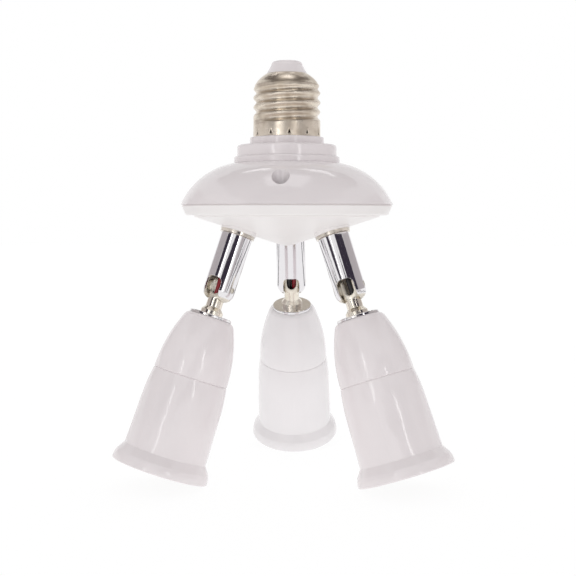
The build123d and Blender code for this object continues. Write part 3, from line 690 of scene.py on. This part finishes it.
def socket_points():
    """One closed section carried round: inside up to the turned-in top, then back down outside."""
    angle = np.linspace(0, 2 * math.pi, SOCKET_COLUMNS, endpoint=False)
    threaded_z = np.linspace(SOCKET_END, SOCKET_STEP, 90)
    neck_z = np.linspace(SOCKET_STEP, SOCKET_TOP, 14)[1:]
    inside_z = np.concatenate([threaded_z, neck_z])
    outside_z = np.linspace(SOCKET_TOP, SOCKET_END, 12)
    inside_angle, inside_grid = np.meshgrid(angle, inside_z)
    inside = socket_radius(inside_angle, inside_grid)
    outside_grid = np.broadcast_to(outside_z[:, None], (len(outside_z), SOCKET_COLUMNS))
    outside = np.where(outside_grid > SOCKET_STEP, SOCKET_NECK_R, SOCKET_R) + SOCKET_SHEET
    turned_in = np.full((2, SOCKET_COLUMNS), SOCKET_MOUTH_R)
    turned_z = np.array([[SOCKET_TOP - LIP_THICK], [SOCKET_TOP]]) * np.ones((2, SOCKET_COLUMNS))
    inside_grid = np.minimum(inside_grid, SOCKET_TOP - LIP_THICK)
    radius = np.concatenate([inside, turned_in, outside])
    height = np.concatenate([inside_grid, turned_z, outside_grid])
    turn = np.broadcast_to(angle, radius.shape)
    return np.stack([radius * np.cos(turn), radius * np.sin(turn), height], -1)


def set_in_arm(points, arm):
    """Points given in an arm's own frame, moved to where the arm is."""
    pivot, rows = arms[arm]
    return points @ rows + pivot


for name in ARM_NAMES:
    placed = set_in_arm(socket_points(), name)
    shell = skin("rolled_socket_" + name, placed, arm_nickel[name], close_rows=True)
    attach(shell, "holder_" + name)
    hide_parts("screw_shell_" + name)

# %% [markdown]
# Two wires come down each tube and pass between the knuckle's ears, and they show in the slot. They have to
# follow the bend, so they carry a little slack: each path sways down the tube, bows out towards the slot
# just above the pin, and comes back into the hollow stem. The pair also twists a little, differently in
# each arm: that is why the photograph shows mostly the red wire on the left, the black one on the right and
# both at the back. A round section is carried along the path.

# %% Draw the wires
WIRE_R = 0.9 * MM
WIRE_OFFSET = 1.05 * MM
WIRE_TOP = 30.2 * MM
STEM_EXIT = -22.0 * MM
BOW = 0.35 * MM
BOW_AT = 4.2 * MM
BOW_SPAN = 6.8 * MM
BOW_UNLIKE = 0.12
SWAY = 0.22 * MM
SWAY_LENGTH = 5.5 * MM
SWAY_FOOT = 12 * MM
SWAY_OVER = 6 * MM
RIVET_REACH = 3 * MM
TWIST_TOP = 26 * MM
TWIST_FOOT = -17 * MM
TWIST_OVER = 13 * MM
WIRE_ROWS = 150
WIRE_COLUMNS = 20


def wire_path(side, lay, end_y, end_z):
    """Points down one wire in the arm's frame: down the tube, to its lay in the slot, over to its rivet.

    x = offset cos(turn) + bow + sway and y = offset sin(turn), which ends over the rivet at end_y.
    side is 1 or -1: which of the tube's halves, along the pin, the wire keeps to at both ends. lay is the
    angle in degrees where it passes the slot; 0 is the slot's own way and 90 is along the pin.
    """
    z = np.linspace(WIRE_TOP, end_z, WIRE_ROWS)
    bow = np.clip(1 - ((z - BOW_AT) / BOW_SPAN) ** 2, 0, 1) ** 2
    over = smooth_step((STEM_EXIT - z) / (STEM_EXIT - end_z - RIVET_REACH))
    sway = SWAY * np.sin(z / SWAY_LENGTH + side) * smooth_step((z - SWAY_FOOT) / SWAY_OVER)
    twist = smooth_step((TWIST_TOP - z) / TWIST_OVER) * smooth_step((z - TWIST_FOOT) / TWIST_OVER)
    turn = np.radians(90 * side + (lay - 90 * side) * twist)
    y = WIRE_OFFSET * np.sin(turn) * (1 - over) + end_y * over
    x = WIRE_OFFSET * np.cos(turn) + BOW * bow * (1 + BOW_UNLIKE * side) + sway
    return np.stack([x, y, z], -1)


def round_along(path, radius):
    """A circle carried along a path: path + radius (first cos(turn) + second sin(turn)).

    first and second stay square to the path and, taken from one fixed direction, never twist.
    """
    along = np.gradient(path, axis=0)
    along = along / np.linalg.norm(along, axis=1, keepdims=True)
    first = np.cross(along, np.array([1.0, 0.0, 0.0]))
    first = first / np.linalg.norm(first, axis=1, keepdims=True)
    second = np.cross(first, along)
    turn = np.linspace(0, 2 * math.pi, WIRE_COLUMNS, endpoint=False)
    ring = first[:, None] * np.cos(turn)[None, :, None] + second[:, None] * np.sin(turn)[None, :, None]
    return path[:, None] + radius * ring


LIVE_END = (3.2 * MM, -43.2 * MM)
NEUTRAL_END = (8.7 * MM, -44.7 * MM)
LIVE_SIDE = {"left": -1, "right": -1, "back": 1}
LAY = {"left": (0, 180), "right": (-200, 40), "back": (90, -90)}
for name in ARM_NAMES:
    pivot, rows = arms[name]
    live = LIVE_SIDE[name]
    live_lay, neutral_lay = LAY[name]
    red_path = wire_path(live, live_lay, live * LIVE_END[0], LIVE_END[1])
    black_path = wire_path(-live, neutral_lay, -live * NEUTRAL_END[0], NEUTRAL_END[1])
    for kind, path, cover in (("live", red_path, red_skin), ("neutral", black_path, black_skin)):
        wire = skin(f"soft_{kind}_wire_{name}", set_in_arm(round_along(path, WIRE_R), name), cover)
        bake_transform(wire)
        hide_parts(f"{kind}_wire_{name}")

# %% [markdown]
# The photograph has a white table that glows from below, white walls, a dimmer ceiling and a dark room in
# front, where the camera stood. So the plastic is brightest underneath and a shade darker on its outer and
# upper sides. A plain white world would light it all alike. Here the world dims towards the top, and the
# floor gives light as well as showing the object's shadow; the camera sees plain white in both.

# %% White walls and a dim ceiling
FULL_WHITE = (1.0, 1.0, 1.0, 1.0)
CEILING_DIM = 0.22
DIM_FROM = 0.05
DIM_FULL = 0.7
FLOOR_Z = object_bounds()[0][2]
world = bpy.data.worlds.new("white_walls")
world.use_nodes = True
bpy.context.scene.world = world
backdrop = world.node_tree.nodes["Background"]
backdrop.inputs["Color"].default_value = FULL_WHITE
way = Sock(world.node_tree, world.node_tree.nodes.new("ShaderNodeTexCoord").outputs["Generated"])
rise = way.node("SeparateXYZ", None, {"Vector": way}, out="Z")
to_camera = way.node("LightPath", out="Is Camera Ray")
level = 1 - CEILING_DIM * between(rise, DIM_FROM, DIM_FULL) * (1 - to_camera)
world.node_tree.links.new(level.socket, backdrop.inputs["Strength"])
print("ceiling dimmed by", CEILING_DIM)


# %% A glowing table
def level_sheet(x, y, z):
    """Corners of a level four-sided sheet between two values of x and two of y."""
    return [(x[0], y[0], z), (x[1], y[0], z), (x[1], y[1], z), (x[0], y[1], z)]


def flat(name, points, material):
    """One four-sided sheet through four points."""
    mesh = bpy.data.meshes.new(name)
    mesh.from_pydata(points, [], [[0, 1, 2, 3]])
    mesh.materials.append(material)
    sheet = bpy.data.objects.new(name, mesh)
    bpy.context.scene.collection.objects.link(sheet)
    return sheet


FLOOR_SPAN = (-3.0, 3.0)
FLOOR_GLOW = 0.9
FLOOR_SHOWN = 0.88
FLOOR_LIGHT = 1.045
FLOOR_MATT = (0.92, 0.92, 0.92, 1.0)
floor_paint = bpy.data.materials.new("pale_floor")
floor_paint.use_nodes = True
tree = floor_paint.node_tree
tree.nodes.clear()
path = tree.nodes.new("ShaderNodeLightPath")
seen = Sock(tree, path.outputs["Is Camera Ray"]) + Sock(tree, path.outputs["Is Glossy Ray"])
seen = seen + Sock(tree, path.outputs["Is Transmission Ray"])
seen = seen.math("MINIMUM", seen, 1.0)
share = FLOOR_GLOW + (FLOOR_SHOWN - FLOOR_GLOW) * seen
matt = seen.node("BsdfDiffuse", None, {"Color": FLOOR_MATT})
glow = seen.node("Emission", None, {"Color": FULL_WHITE, "Strength": FLOOR_LIGHT})
mixed = seen.node("MixShader", None, {0: share, 1: matt, 2: glow})
out = tree.nodes.new("ShaderNodeOutputMaterial")
tree.links.new(mixed.socket, out.inputs["Surface"])
floor = flat("pale_floor", level_sheet(FLOOR_SPAN, FLOOR_SPAN, FLOOR_Z), floor_paint)
print("floor at mm", round(FLOOR_Z / MM, 2))

# %% [markdown]
# Polished tubes are only as good as what stands round them. Flat cards, seen from the axis between two
# turns and two heights in degrees, put the dark room, the grey walls and the lit strips where the tubes and
# the plastic mirror them. The camera itself does not see the cards. Two kinds of sheet show in the gloss
# alone and neither light nor shade anything: a brown board high up behind, which the dome mirrors, and dark
# tapes on the table, which the round tubes squeeze into thin upright lines.


# %% Cards round the object
def flat_paint(name, constants):
    """A material that is the same all over."""
    return finish(name, constants, lambda place: {})


def unseen(name, points, material, gloss_only=False):
    """A sheet that the camera does not see; with gloss_only it shows in reflections and nowhere else."""
    sheet = flat(name, points, material)
    sheet.visible_camera = False
    sheet.visible_diffuse = not gloss_only
    sheet.visible_shadow = not gloss_only
    return sheet


CARD_AWAY = 0.8
CARD_CLEAR = 5 * MM
EYE_Z = -45 * MM


def card(name, turns, rises, shade, light=0.0, gloss_only=False):
    """A flat card, from turn to turn (0 is the front, 90 the right) and from rise to rise.

    Each corner lies where its own turn and rise, seen from the axis at EYE_Z, cut the plane that stands
    square to the card's middle turn: half = away tan(half turn), height = away tan(rise) + eye.
    """
    middle = math.radians(sum(turns) / 2)
    ahead = np.array([math.sin(middle), -math.cos(middle), 0.0])
    aside = np.array([math.cos(middle), math.sin(middle), 0.0])
    half = CARD_AWAY * math.tan(math.radians((turns[1] - turns[0]) / 2))
    low, high = CARD_AWAY * np.tan(np.radians(rises)) + EYE_Z
    points = ahead * CARD_AWAY + np.outer([-half, half, half, -half], aside)
    points[:, 2] = np.maximum([low, low, high, high], FLOOR_Z + CARD_CLEAR)
    lit = {"Emission Color": FULL_WHITE, "Emission Strength": light}
    cloth = flat_paint(name, {"Base Color": shade, "Roughness": 1.0, **lit})
    return unseen(name, points, cloth, gloss_only)


DUSK = paint(52, 44, 60)
SHADE = paint(196, 190, 191)
CHALK = paint(250, 250, 250)
BROWN = paint(196, 187, 172)
dusk_left = card("dusk_left", (-56, -34), (0, 6.4), DUSK)
card("dusk_left_high", (-56, -34), (10.9, 32), DUSK)
card("dusk_right", (6, 31), (5, 31), DUSK)
card("dusk_right_high", (31, 63), (8.6, 31), DUSK)
card("pale_front", (-20, 5.9), (-1, 4.9), CHALK, light=0.4)
card("dusk_middle", (-7, 6), (5, 16.5), DUSK)
card("grey_left", (-135, -57), (8, 34), SHADE)
card("grey_right", (64, 140), (8, 34), SHADE)
card("strip_right", (29, 33), (1, 21), CHALK, light=5.0)
card("strip_left", (-28, -24), (1, 24), CHALK, light=4.0)
card("low_right", (46, 84), (-8, 3), SHADE)
card("brown_board", (166, 194), (38, 47), BROWN, gloss_only=True)
print("cards stand", CARD_AWAY, "m from the axis")

# %% Dark tapes on the table
TAPES = ((0.27, 0.3), (0.4, 0.47), (0.62, 0.72))
TAPE_Y = (-0.6, 0.5)
TAPE_Z = FLOOR_Z + 4 * MM
dusk_cloth = dusk_left.data.materials[0]
for number, (near, far) in enumerate(TAPES):
    unseen(f"tape_right_{number}", level_sheet((near, far), TAPE_Y, TAPE_Z), dusk_cloth, gloss_only=True)
    unseen(f"tape_left_{number}", level_sheet((-far, -near), TAPE_Y, TAPE_Z), dusk_cloth, gloss_only=True)
print("tapes", 2 * len(TAPES))

# %% [markdown]
# Above and behind hangs one long lamp, which draws the bright line over the dome. The dim world alone would
# leave the metal's upper sides too pale, so a dark ceiling hangs over everything, with one lit patch in
# its middle. Both show in the gloss alone: the plastic is lit as if they were not there.

# %% A long lamp overhead
LAMP_X = 0.35
LAMP_Y = (0.42, 0.5)
LAMP_Z = 0.75
LAMP_LIGHT = 2.0
lamp_paint = flat_paint("long_lamp", {"Emission Color": FULL_WHITE, "Emission Strength": LAMP_LIGHT})
unseen("long_lamp", level_sheet((LAMP_X, -LAMP_X), LAMP_Y, LAMP_Z), lamp_paint)
print("lamp at mm", round(LAMP_Z / MM))

# %% A dim ceiling for the metal to mirror
CEILING_SPAN = (-0.8, 0.8)
CEILING_Z = 0.9
CEILING_BROWN = paint(92, 82, 78)
PATCH_SPAN = (-0.2, 0.2)
PATCH_Z = 0.85
PATCH_LIGHT = 0.9
ceiling_paint = flat_paint("dim_ceiling", {"Base Color": CEILING_BROWN})
unseen("dim_ceiling", level_sheet(CEILING_SPAN, CEILING_SPAN, CEILING_Z), ceiling_paint, gloss_only=True)
patch_paint = flat_paint("lit_patch", {"Emission Color": FULL_WHITE, "Emission Strength": PATCH_LIGHT})
unseen("lit_patch", level_sheet(PATCH_SPAN, PATCH_SPAN, PATCH_Z), patch_paint, gloss_only=True)
print("ceiling at mm", round(CEILING_Z / MM))

# %% [markdown]
# The camera is where the photograph puts it: about 416 mm from the axis, a little to the right and a little
# above the holders, looking down by four degrees. The lens follows from the thread, whose 26.2 mm crest
# measures 67 of the picture's 576 pixels.

# %% The camera
LENS = 65.83
FILM_WIDTH = 36.0
LENS_SHIFT = 0.0019
CAMERA_AT = (27.86 * MM, -415.07 * MM, -30.10 * MM)
LOOK_DOWN = 3.98
LOOK_LEFT = 3.84
camera_data = bpy.data.cameras.new("camera")
camera_data.lens = LENS
camera_data.sensor_width = FILM_WIDTH
camera_data.shift_x = LENS_SHIFT
camera = bpy.data.objects.new("camera", camera_data)
camera.location = CAMERA_AT
camera.rotation_euler = (math.radians(90 - LOOK_DOWN), 0.0, math.radians(LOOK_LEFT))
bpy.context.scene.collection.objects.link(camera)
bpy.context.scene.camera = camera
bpy.context.scene.view_settings.view_transform = "Standard"
print("camera at mm", [round(c / MM, 1) for c in camera.location])
